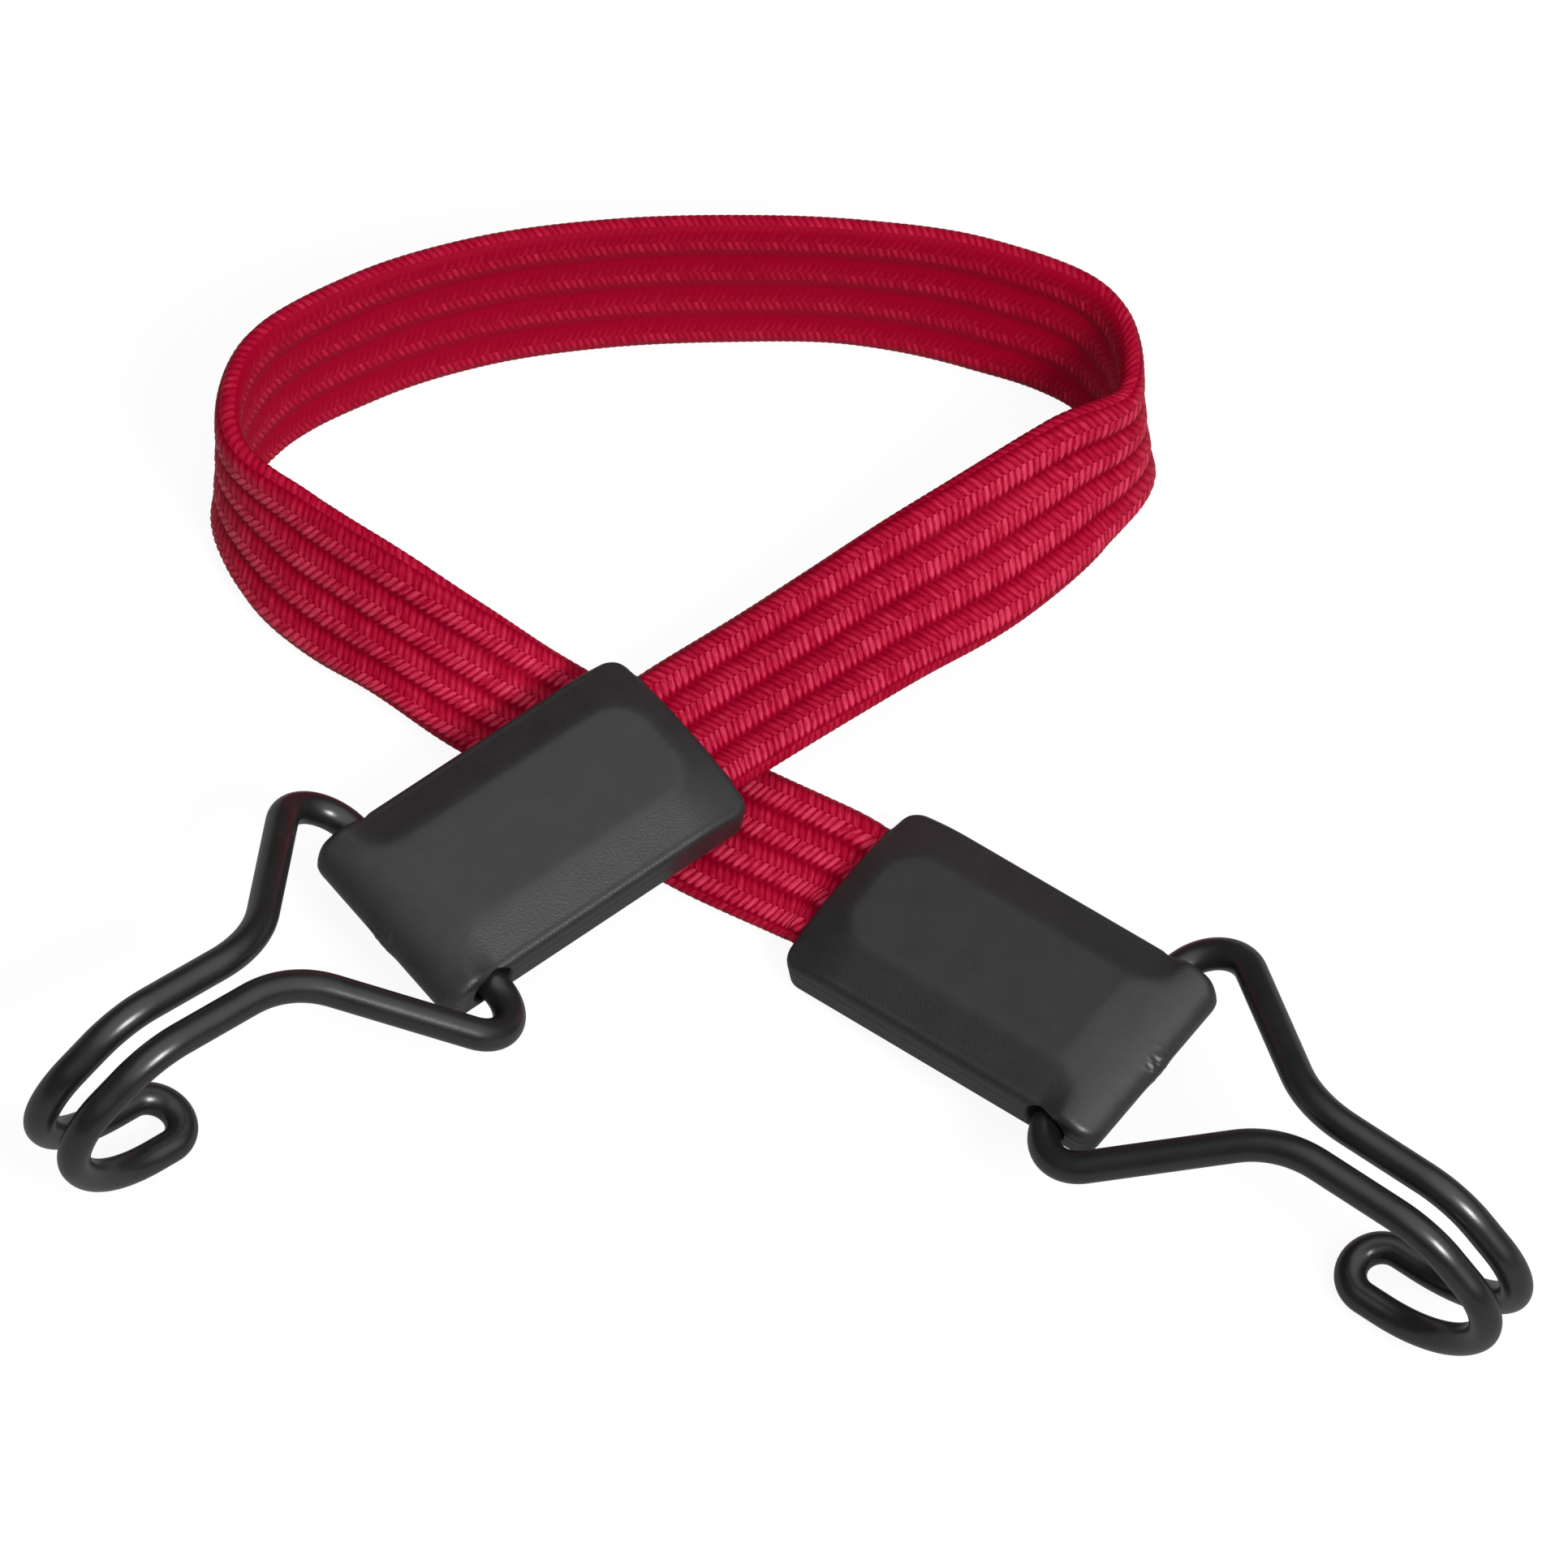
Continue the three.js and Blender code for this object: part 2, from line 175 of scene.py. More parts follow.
# Each end of the cord: where its pad lies and how it is turned, in degrees, the side of the pad that
# the strap's upper edge is on, and how wide the hook spreads and how it sits in the pad
ends = {
    "left": {
        "place": (-0.02935, 0.02103, 0.009), "turn": -140.9, "pitch": 1.3, "roll": 1.0, "far_side": -1,
        "spread": 0.0250, "swing": -5.6, "skew": 1.0, "tilt": -0.7, "shift": 0.0004,
    },
    "right": {
        "place": (0.02735, 0.00403, 0.00893), "turn": -38.1, "pitch": 12.5, "roll": 2.8, "far_side": 1,
        "spread": 0.0224, "swing": 10.36, "skew": -0.3, "tilt": 1.1, "shift": 0.0003,
    },
}
# Route of the strap's middle from the left pad to the right pad, and the lean of its outer face
# in degrees: 0 stands on edge and 90 lies flat with that face up
strap_route = np.array([
    (0.0016, 0.0452, 0.0090, 92), (0.0134, 0.0538, 0.0096, 86), (0.0255, 0.0625, 0.0100, 62),
    (0.0365, 0.0719, 0.0103, 41), (0.0443, 0.0799, 0.0103, 15), (0.0392, 0.0922, 0.0095, -21),
    (0.0252, 0.0982, 0.0093, -24), (0.0100, 0.1004, 0.0094, -19), (-0.0057, 0.1001, 0.0094, -21),
    (-0.0212, 0.0986, 0.0093, -22), (-0.0364, 0.0953, 0.0093, -23), (-0.0507, 0.0895, 0.0092, -24),
    (-0.0630, 0.0805, 0.0094, -22), (-0.0670, 0.0689, 0.0099, 0), (-0.0598, 0.0587, 0.0091, 28),
    (-0.0468, 0.0495, 0.0081, 37), (-0.0344, 0.0425, 0.0046, 70), (-0.0215, 0.0367, 0.0019, 92),
    (-0.0078, 0.0276, 0.0024, 86),
])
knot_steps = 80
lean_window = 61


def turned(axis, degrees):
    """The matrix of a turn about one of the axes 0, 1 and 2."""
    a = np.radians(degrees)
    i, j = (axis + 1) % 3, (axis + 2) % 3
    m = np.eye(3)
    m[i, i] = m[j, j] = np.cos(a)
    m[j, i] = np.sin(a)
    m[i, j] = -np.sin(a)
    return m


def pad_axes(end):
    """The pad's own axes: x towards the hook, z out of its plateau."""
    return turned(2, end["turn"]) @ turned(1, -end["pitch"]) @ turned(0, end["roll"])


def strap_mouth(end, way):
    """Knots of the route on the pad's middle line, from inside the slot to just outside the
    mouth, and the lean that the pad gives the strap there."""
    axes = pad_axes(end)
    reach = np.array([strap_inside, 0.0, -strap_lead]) - pad_length / 2
    points = np.array(end["place"]) + reach[:, None] * axes[:, 0]
    along, across = way * axes[:, 0], end["far_side"] * axes[:, 1]
    outward = np.cross(along, [0, 0, 1])
    outward /= np.linalg.norm(outward)
    lean = np.degrees(np.arctan2(-across @ outward, across @ np.cross(outward, along)))
    return np.column_stack([points, np.full(3, lean)])


def through(knots, steps):
    """A smooth curve through the knots: on each span a cubic whose end slopes come from the
    neighbouring knots, with the roots of the chords as the spacing."""
    ext = np.vstack([2 * knots[0] - knots[1], knots, 2 * knots[-1] - knots[-2]])
    gap = np.sqrt(np.linalg.norm(np.diff(ext, axis=0), axis=1))[:, None, None]
    a, b, c, d = (ext[k:len(knots) - 1 + k, None, :] for k in range(4))
    g0, g1, g2 = gap[:-2], gap[1:-1], gap[2:]
    leave = ((b - a) / g0 - (c - a) / (g0 + g1) + (c - b) / g1) * g1
    arrive = ((c - b) / g1 - (d - b) / (g1 + g2) + (d - c) / g2) * g1
    w = np.linspace(0, 1, steps, endpoint=False)[None, :, None]
    spans = (b + leave * w + (3 * (c - b) - 2 * leave - arrive) * w ** 2
             + (2 * (b - c) + leave + arrive) * w ** 3)
    return np.vstack([spans.reshape(-1, 3), knots[-1:]])


left_knots = strap_mouth(ends["left"], -1)
right_knots = strap_mouth(ends["right"], 1)[::-1]
strap_knots = np.vstack([left_knots, strap_route, right_knots])
strap_spine = through(strap_knots[:, :3], knot_steps)
spine_run = np.r_[0, np.cumsum(np.linalg.norm(np.diff(strap_spine, axis=0), axis=1))]
# The lean goes straight from knot to knot, and is then evened out over a window of the route
spine_lean = np.interp(spine_run, spine_run[::knot_steps], strap_knots[:, 3])
even_run = np.linspace(0, spine_run[-1], len(spine_run))
even_lean = np.pad(np.interp(even_run, spine_run, spine_lean), lean_window // 2, mode="edge")
even_lean = np.convolve(even_lean, np.ones(lean_window) / lean_window, "valid")
spine_lean = np.interp(spine_run, even_run, even_lean)

# Section of the strap: a flat oval, with its rows counted from the inner face's lower edge up,
# over the top edge, down the outer face and round the bottom edge
strap_width = 0.0196
strap_thickness = 0.0034
rows_on_face = 8
row_steps = 4
low_rise = 0.00013
high_rise = 0.00008
edge_rise = 0.00007
swell_power = 0.8
lock_rise = 0.5
rib_depth = 0.0004
rib_low_flank = 0.30
rib_high_flank = 0.45
edge_crown = 0.6
float_pitch = 0.00092
float_slant = 0.38
edge_slant = 0.5
float_steps = 4
# Near this knot the strap goes in under the left pad, and each half of its width is drawn in
draw_knot = 19
draw_reach = 0.016
draw_low = 0.20
draw_high = 0.08
half_thick = strap_thickness / 2 - low_rise
half_flat = (strap_width - strap_thickness) / 2
girth = 4 * half_flat + 2 * np.pi * half_thick
row_count = 2 * rows_on_face + 2
row_width = girth / row_count
ring_steps = row_count * row_steps


def strap_section():
    """Points and outward directions round the flat oval: two straight faces joined by half
    circles, walked at even steps from the lower end of the inner face's rows."""
    run = np.arange(ring_steps) * girth / ring_steps - rows_on_face / 2 * row_width
    run = np.where(run < -half_flat, run + girth, run)
    bend = np.pi * half_thick
    far = 3 * half_flat + bend
    top = (run - half_flat) / half_thick
    bottom = (run - far) / half_thick
    on_top = (run > half_flat) & (run <= half_flat + bend)
    on_outer = (run > half_flat + bend) & (run <= far)
    on_bottom = run > far
    parts = [on_top, on_outer, on_bottom]
    angle = np.select(parts, [top, np.pi, np.pi + bottom], 0.0)
    centre = np.select(parts, [half_flat, 2 * half_flat + bend - run, -half_flat], run)
    out = np.column_stack([np.cos(angle), np.where(on_top | on_bottom, np.sin(angle), 0.0)])
    return np.column_stack([np.zeros(ring_steps), centre]) + half_thick * out, out


def rib_place(row, spot):
    """Place across a rib, from 0 in the groove under it to 1 in the groove over it."""
    on_outer = row > rows_on_face
    counted = (np.where(on_outer, row - rows_on_face - 1, row) % 2 + spot) / 2
    return np.where(on_outer, 1 - counted, counted)


def strap_grid():
    """Points of the strap: the section carried along the route, with each ring of points bent
    into a zigzag that follows the floats, and raised by the floats and ribs. A float is a half
    ellipse along the strap times a flatter one across its row. A rib is a quarter of a sine wave
    up each flank. The drawn-in stretch fades out as a bell with a flat top."""
    section, out = strap_section()
    step = np.arange(ring_steps)
    row, spot = step // row_steps, (step % row_steps) / row_steps
    on_edge = (row == rows_on_face) | (row == row_count - 1)
    outer = row > rows_on_face
    slope = np.where(row % 2 == 0, 1.0, -1.0) * np.where(outer, -1.0, 1.0) * float_slant
    slope = np.where(on_edge, np.where(outer, -edge_slant, edge_slant), slope)
    shift = np.r_[0, np.cumsum(slope * row_width / row_steps)[:-1]]
    floats = int(spine_run[-1] / float_pitch)
    rings = np.arange(floats * float_steps + 1)
    run = rings[:, None] * (spine_run[-1] / (len(rings) - 1)) + shift[None, :]

    phase = ((rings[:, None] + row[None, :] % 2 * (float_steps // 2)) % float_steps) / float_steps
    crest = np.sqrt(1 - (2 * phase - 1) ** 2)
    swell = np.sqrt(np.clip(1 - (2 * spot - 1) ** 2, 0, 1)) ** swell_power
    # Rows that lock don't fall away to nothing: in the middle of a rib, and all over the outer face
    locked = (spot == 0) & np.where(outer, row > rows_on_face + 1, row % 2 == 1) & ~on_edge
    row_rise = np.where(on_edge, edge_rise, np.where(row % 2 == 0, low_rise, high_rise))
    rise = row_rise * np.where(locked[None, :], lock_rise, crest * swell[None, :])
    up_rib = rib_place(row, spot)
    flank = np.minimum(up_rib / rib_low_flank, (1 - up_rib) / rib_high_flank)
    crown = np.sin(np.pi / 2 * np.clip(flank, 0, 1))
    by_edge = np.isin(row, [0, rows_on_face - 1, rows_on_face + 1, row_count - 2])
    crown = np.where(by_edge, np.maximum(crown, edge_crown), crown)
    crown = np.where(on_edge, edge_crown + (1 - edge_crown) * np.sqrt(np.sin(np.pi * spot)), crown)
    offset = rise - rib_depth * (1 - crown)[None, :]

    tangent = np.gradient(strap_spine, axis=0)
    tangent /= np.linalg.norm(tangent, axis=1)[:, None]
    outward = np.cross(tangent, [0.0, 0.0, 1.0])
    outward /= np.linalg.norm(outward, axis=1)[:, None]
    upright = np.cross(outward, tangent)
    lean = np.radians(spine_lean)[:, None]
    across = np.cos(lean) * upright - np.sin(lean) * outward
    face = np.cross(across, tangent)
    lift = section[None, :, :] + offset[..., None] * out[None, :, :]
    drawn = np.exp(-((run - spine_run[draw_knot * knot_steps]) / draw_reach) ** 4)
    lift[..., 1] *= 1 - drawn * np.where(lift[..., 1] < 0, draw_low, draw_high)
    held = np.clip(run, 0, spine_run[-1])

    def along(values):
        """What the route has at each point's own distance along it."""
        return np.stack([np.interp(held, spine_run, values[:, k]) for k in range(3)], axis=-1)

    return along(strap_spine) + along(face) * lift[..., :1] + along(across) * lift[..., 1:]


def ring_quads(rings, steps):
    """Quads between neighbouring rings of points, each ring closed on itself."""
    ring = np.arange(rings - 1)[:, None] * steps
    here = np.arange(steps)[None, :]
    after = (here + 1) % steps
    quads = [ring + here, ring + after, ring + steps + after, ring + steps + here]
    return np.stack(np.broadcast_arrays(*quads), axis=-1).reshape(-1, 4)


def tube_piece(name, grid):
    """A closed smooth piece from rings of points, with a flat cap on its first and last ring."""
    rings, steps = grid.shape[:2]
    caps = [list(range(steps))[::-1], list(range((rings - 1) * steps, rings * steps))]
    mesh = bpy.data.meshes.new(name)
    mesh.from_pydata(grid.reshape(-1, 3).tolist(), [], ring_quads(rings, steps).tolist() + caps)
    mesh.polygons.foreach_set("use_smooth", np.ones(len(mesh.polygons), bool))
    mesh.update()
    piece = bpy.data.objects.new(name, mesh)
    scene.collection.objects.link(piece)
    return piece


strap_points = strap_grid()
strap = tube_piece("braided_strap", strap_points)
# Two maps for the yarn: "yarn" counts floats along and rows round, and "rib" holds the place across
# a rib and the kind of row
inner_kind, edge_kind, outer_kind = 0, 1, 2
ring_at, step_at = np.meshgrid(np.arange(len(strap_points) - 1), np.arange(ring_steps), indexing="ij")
yarn_u = np.stack([ring_at, ring_at, ring_at + 1, ring_at + 1], -1) / float_steps
yarn_v = np.stack([step_at, step_at + 1, step_at + 1, step_at], -1) / row_steps
row_of, spot_of = step_at // row_steps, (step_at % row_steps) / row_steps
rib_near, rib_far = rib_place(row_of, spot_of), rib_place(row_of, spot_of + 1 / row_steps)
rib_u = np.stack([rib_near, rib_far, rib_far, rib_near], -1)
row_kind = np.where(row_of > rows_on_face, outer_kind, inner_kind)
row_kind = np.where((row_of == rows_on_face) | (row_of == row_count - 1), edge_kind, row_kind)
rib_v = np.repeat(row_kind[..., None], 4, axis=-1)
for layer, layer_u, layer_v in (("yarn", yarn_u, yarn_v), ("rib", rib_u, rib_v)):
    layer_uv = np.zeros((len(strap.data.loops), 2))
    layer_uv[:layer_u.size] = np.stack([layer_u, layer_v], -1).reshape(-1, 2)
    strap.data.uv_layers.new(name=layer).data.foreach_set("uv", layer_uv.ravel())

# Yarn: crimson floats with fine filaments along them, short on the lower row of each rib and longer on
# the upper row. Painted light: the lower row is painted lit and the upper row painted shaded, and
# painted shade darkens the grooves, the gaps between floats and, on the outer face, the holes where
# the two rows of a rib lock. The inner face is flatter in colour.
groove_teeth = 0.12
groove_ease = (0.02, 0.12)
top_teeth = 0.06
top_ease = (1.02, 0.74)
inner_groove_wider = 0.16
inner_top_wider = 0.10
# Painted shade: the share of the colour left in the grooves
groove_shade_level = 0.20
lock_teeth = 0.10
lock_back = 0.04
lock_ease = (0.56, 0.46)
# Painted light: the upper row's painted shade level, and how much lighter the lower row is painted
upper_painted_shade_level = 0.52
lower_painted_light_extra = 0.29
inner_duller = 0.42
# Painted shade in the gaps between floats and in the holes where the rows of a rib lock
gap_shade_depth_outer = 0.76
gap_shade_deeper_inner = 0.16
seam_hole_shade_depth = 3.6
edge_level = 0.45
edge_gap_shade_depth = 0.36
filaments_in_float = (3.6, 1.8, 1.0)
filament_contrast = 2.2
filament_height = 0.5
luck_range = 0.50
luck_least = -0.40
inner_least = 0.17
# The lowest tint is the painted shade in the deepest holes and gaps
yarn_tints = [
    (0.0, (0.140, 0.0000, 0.0080, 1)), (0.12, (0.270, 0.0000, 0.0150, 1)),
    (0.45, (0.400, 0.0050, 0.0300, 1)), (1.0, (0.620, 0.0420, 0.0950, 1)),
]
yarn_gloss_least = 0.03
yarn_gloss_range = 0.26


def eased(tree, value, start, end):
    """Rises smoothly from 0 where the value is at the start to 1 where it is at the end."""
    step = wire_up(tree, "ShaderNodeMapRange", {"interpolation_type": "SMOOTHSTEP"},
                   Value=value, From_Min=start, From_Max=end)
    return step.outputs["Result"]


def noise(tree, vector, scale, detail):
    """Soft random levels from 0 to 1, in lumps about one over the scale wide, with finer lumps on
    them."""
    made = wire_up(tree, "ShaderNodeTexNoise", Vector=vector, Scale=scale, Detail=detail)
    return made.outputs["Fac"]


def tinted(tree, level, tints):
    """A colour that goes straight from each tint to the next, as the level passes their places."""
    ramp = wire_up(tree, "ShaderNodeValToRGB", Fac=level)
    stops = ramp.color_ramp.elements
    stops[0].position, stops[0].color = tints[0]
    stops[1].position, stops[1].color = tints[-1]
    for place, tint in tints[1:-1]:
        stops.new(place).color = tint
    return ramp.outputs[0]


crimson_yarn = bpy.data.materials.new("crimson_yarn")
tree = blank_tree(crimson_yarn)
yarn_map = wire_up(tree, "ShaderNodeUVMap", {"uv_map": "yarn"})
yarn_parts = wire_up(tree, "ShaderNodeSeparateXYZ", Vector=yarn_map.outputs[0])
yarn_row = sums(tree, "FLOOR", yarn_parts.outputs["Y"])
odd_row = sums(tree, "FLOORED_MODULO", yarn_row, 2.0)
float_count = sums(tree, "MULTIPLY_ADD", odd_row, 0.5, yarn_parts.outputs["X"])
from_crest = sums(tree, "MULTIPLY_ADD", sums(tree, "FRACT", float_count), 2.0, -1.0)
crest_part = sums(tree, "MULTIPLY", from_crest, from_crest)
rib_map = wire_up(tree, "ShaderNodeUVMap", {"uv_map": "rib"})
rib_parts = wire_up(tree, "ShaderNodeSeparateXYZ", Vector=rib_map.outputs[0])
up_rib = rib_parts.outputs["X"]
on_edge = sums(tree, "COMPARE", rib_parts.outputs["Y"], edge_kind, 0.5)
on_inner = sums(tree, "COMPARE", rib_parts.outputs["Y"], inner_kind, 0.5)
off_edge = sums(tree, "SUBTRACT", 1.0, on_edge)
off_inner = sums(tree, "SUBTRACT", 1.0, on_inner)
# The lower row's floats end in teeth over the groove, and lock into the upper row in a zigzag.
# Painted shade darkens the groove past the floats' ends.
from_groove = sums(tree, "MULTIPLY_ADD", on_inner, -inner_groove_wider, up_rib)
from_groove = sums(tree, "MULTIPLY_ADD", crest_part, -groove_teeth, from_groove)
from_top = sums(tree, "MULTIPLY_ADD", on_inner, inner_top_wider, up_rib)
from_top = sums(tree, "MULTIPLY_ADD", crest_part, top_teeth, from_top)
painted_groove_shade = sums(tree, "MULTIPLY", eased(tree, from_groove, *groove_ease),
                  eased(tree, from_top, *top_ease))
painted_groove_shade = sums(tree, "MULTIPLY_ADD", painted_groove_shade, 1 - groove_shade_level, groove_shade_level)
row_way = sums(tree, "MULTIPLY_ADD", odd_row, -2.0, 1.0)
zigzag = sums(tree, "MULTIPLY", row_way, sums(tree, "MULTIPLY_ADD", crest_part, lock_teeth, -lock_back))
low_share = eased(tree, sums(tree, "ADD", up_rib, zigzag), *lock_ease)
# Painted light: the lower row of each rib is painted lit and the upper row painted shaded
row_painted_light = sums(tree, "MULTIPLY_ADD", low_share, lower_painted_light_extra, upper_painted_shade_level)
row_painted_light = sums(tree, "MULTIPLY", row_painted_light, sums(tree, "MULTIPLY_ADD", on_inner, -inner_duller, 1.0))
# Painted shade darkens the gaps between the floats of a row, and the holes where the zigzag meets the gaps
gap_shade_depth = sums(tree, "MULTIPLY_ADD", on_inner, gap_shade_deeper_inner, gap_shade_depth_outer)
gap = sums(tree, "SUBTRACT", 1.0, sums(tree, "MULTIPLY", gap_shade_depth, crest_part))
face_painted_light = sums(tree, "MULTIPLY", sums(tree, "MULTIPLY", painted_groove_shade, row_painted_light), gap)
seam_shade_mask = sums(tree, "MULTIPLY", low_share, sums(tree, "SUBTRACT", 1.0, low_share))
seam_shade_mask = sums(tree, "MULTIPLY", seam_shade_mask, off_inner)
seam_hole_shade = sums(tree, "MULTIPLY_ADD", sums(tree, "MULTIPLY", seam_shade_mask, crest_part), -seam_hole_shade_depth, 1.0)
face_painted_light = sums(tree, "MULTIPLY", face_painted_light, seam_hole_shade)
face_painted_light = sums(tree, "MULTIPLY", face_painted_light, off_edge)
# The edge row's floats, with painted shade in the gaps between them
edge_float_gap_shade = sums(tree, "SUBTRACT", edge_level, sums(tree, "MULTIPLY", crest_part, edge_gap_shade_depth))
float_painted_light = sums(tree, "ADD", face_painted_light, sums(tree, "MULTIPLY", on_edge, edge_float_gap_shade))
# Filaments streak each float, and luck makes some floats brighter than others
filament_map = wire_up(tree, "ShaderNodeMapping", Vector=yarn_map.outputs[0], Scale=filaments_in_float)
filament = noise(tree, filament_map.outputs[0], scale=1.0, detail=3.0)
float_name = wire_up(tree, "ShaderNodeCombineXYZ", X=sums(tree, "FLOOR", float_count), Y=yarn_row)
chance = wire_up(tree, "ShaderNodeTexWhiteNoise", {"noise_dimensions": "2D"}, Vector=float_name.outputs[0])
luck = sums(tree, "MULTIPLY_ADD", chance.outputs["Value"], luck_range, luck_least)
streak = sums(tree, "MULTIPLY_ADD", filament, filament_contrast, luck)
shade = sums(tree, "MULTIPLY", float_painted_light, streak)
shade = sums(tree, "MAXIMUM", shade, sums(tree, "MULTIPLY", on_inner, inner_least))
height = sums(tree, "MULTIPLY_ADD", filament, filament_height, float_painted_light)
yarn_bump = wire_up(tree, "ShaderNodeBump", Strength=0.6, Distance=0.0002, Height=height)
yarn_gloss = sums(tree, "MULTIPLY_ADD", shade, yarn_gloss_range, yarn_gloss_least)
yarn = wire_up(tree, "ShaderNodeBsdfPrincipled", Base_Color=tinted(tree, shade, yarn_tints), Roughness=0.5,
               Normal=yarn_bump.outputs[0], Specular_IOR_Level=yarn_gloss,
               Specular_Tint=(1.0, 0.35, 0.45, 1))
wire_up(tree, "ShaderNodeOutputMaterial", Surface=yarn.outputs[0])
strap.data.materials.append(crimson_yarn)
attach(strap, "cord")
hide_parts("strap_cover", "rubber_strand_1", "rubber_strand_2", "rubber_strand_3",
            "rubber_strand_4")

# Pads: black nylon mouldings that close over the strap's ends. A bevelled plateau with round
# corners widens at the hook end into a nose as wide as the pad, each side has a blind hole, and the
# middle of the nose's end keeps a torn scar where the mould's gate was broken off.
half_length = pad_length / 2
pad_half_width = 0.01335
pad_top = 0.0048
pad_base = -0.0036
pad_corner = 0.0024
side_round = 0.0011
side_round_share = 0.45
mouth_round = 0.0008
plateau_half = 0.0070
plateau_corner = 0.0046
plateau_start = 0.0043 - half_length
bevel_slope = 0.41
bevel_soft = 0.0004
flare_soft = 0.0011
pivot_x = half_length - 0.007
pivot_z = -0.0002
crease_x = pivot_x - 0.0013
crease_radius = 0.0062
nose_run = 0.0091
nose_level = 0.0002
nose_soft = 0.0006
nose_soft_pace = 3.0
nose_power = 1.65
nose_sweep = 87.5
nose_undercut = 0.0032
# Heights on a side wall, as shares of it above and below the parting line, and the line's fine flash
wall_shares = np.array([0.6, 0.3, 0.1, 0.04, -0.04, -0.1, -0.3, -0.6])
parting_share = 0.05
parting_flash = 0.00004
gate_y = 0.0006
gate_half = 0.0019
gate_reach = 0.0009
gate_rise = 0.00028
gate_lumps = 4400.0
gate_waver = 2.2
gate_beat = 0.43
gate_cross_y = 0.6
gate_cross_z = 0.7
gate_mean = 0.55
gate_sunk = 0.4
slot_half = 0.0020
slot_spine = 0.0081
slot_depth = 0.006
slot_shares = np.array([1.0, 0.5, 0.1, 0.0])
hole_radius = 0.0028
hole_flare = 0.0031
hole_bottom = 0.00825
hole_flare_from = 0.0129
hole_flare_to = 0.0135
hole_clear = 0.0170
hole_sides = 48
mouth_rings, body_rings, nose_rings = 9, 130, 46
top_points, round_points, base_points = 111, 8, 41


def quarter(run, radius):
    """How far a quarter-round edge falls back, at a distance from where it starts."""
    left = np.clip(1 - run / radius, 0, 1)
    return radius * (1 - np.sqrt(1 - left ** 2))


def bevel_fall(x, y):
    """Distance outside the plateau's outline, which is a round-cornered box at the mouth end and
    flares in a quarter circle to each side at the nose. Its start is softened, most at the flare."""
    y = np.abs(y)
    box_x = plateau_start + plateau_corner - x
    box_y = y - (plateau_half - plateau_corner)
    corner = np.hypot(np.maximum(box_x, 0), np.maximum(box_y, 0)) - plateau_corner
    back = np.maximum(corner, np.minimum(np.maximum(box_x, box_y) - plateau_corner, 0))
    past = np.maximum(x - crease_x, 0)
    short = np.maximum(plateau_half + crease_radius - y, 0)
    away = np.where(x > crease_x, crease_radius - np.hypot(past, short), back)
    soft = np.interp(x, [crease_x - crease_radius, crease_x + crease_radius / 2], [bevel_soft, flare_soft])
    return 0.5 * (away + np.sqrt(away ** 2 + soft ** 2))


def pad_height(x, y):
    """Height of the pad's top: the plateau, less a bevel that falls with the distance outside
    the plateau's outline, held under the nose's flattened quarter ellipse by a softened turn."""
    bevelled = pad_top - bevel_slope * bevel_fall(x, y)
    reach = np.clip((x - (half_length - nose_run)) / nose_run, 0, 1)
    nose = nose_level + (pad_top - nose_level) * (1 - reach ** nose_power) ** (1 / nose_power)
    soft = nose_soft * np.clip(nose_soft_pace * reach, 0, 1)
    return 0.5 * (bevelled + nose - np.sqrt((bevelled - nose) ** 2 + soft ** 2))


def gate_scar(x, y, z):
    """Height of the gate's stump, a box with soft sides, and the share of it that is left: two
    crossed waves, of which one wavers in length, tear it into lumps."""
    stump = np.exp(-((y - gate_y) / gate_half) ** 4 - ((half_length - x) / gate_reach) ** 2)
    wavering = gate_lumps * y + gate_waver * np.sin(gate_beat * gate_lumps * y)
    crossing = gate_lumps * (gate_cross_z * z + gate_cross_y * y)
    torn = gate_mean + (1 - gate_mean) * np.sin(wavering) * np.cos(crossing)
    return gate_rise * stump, torn


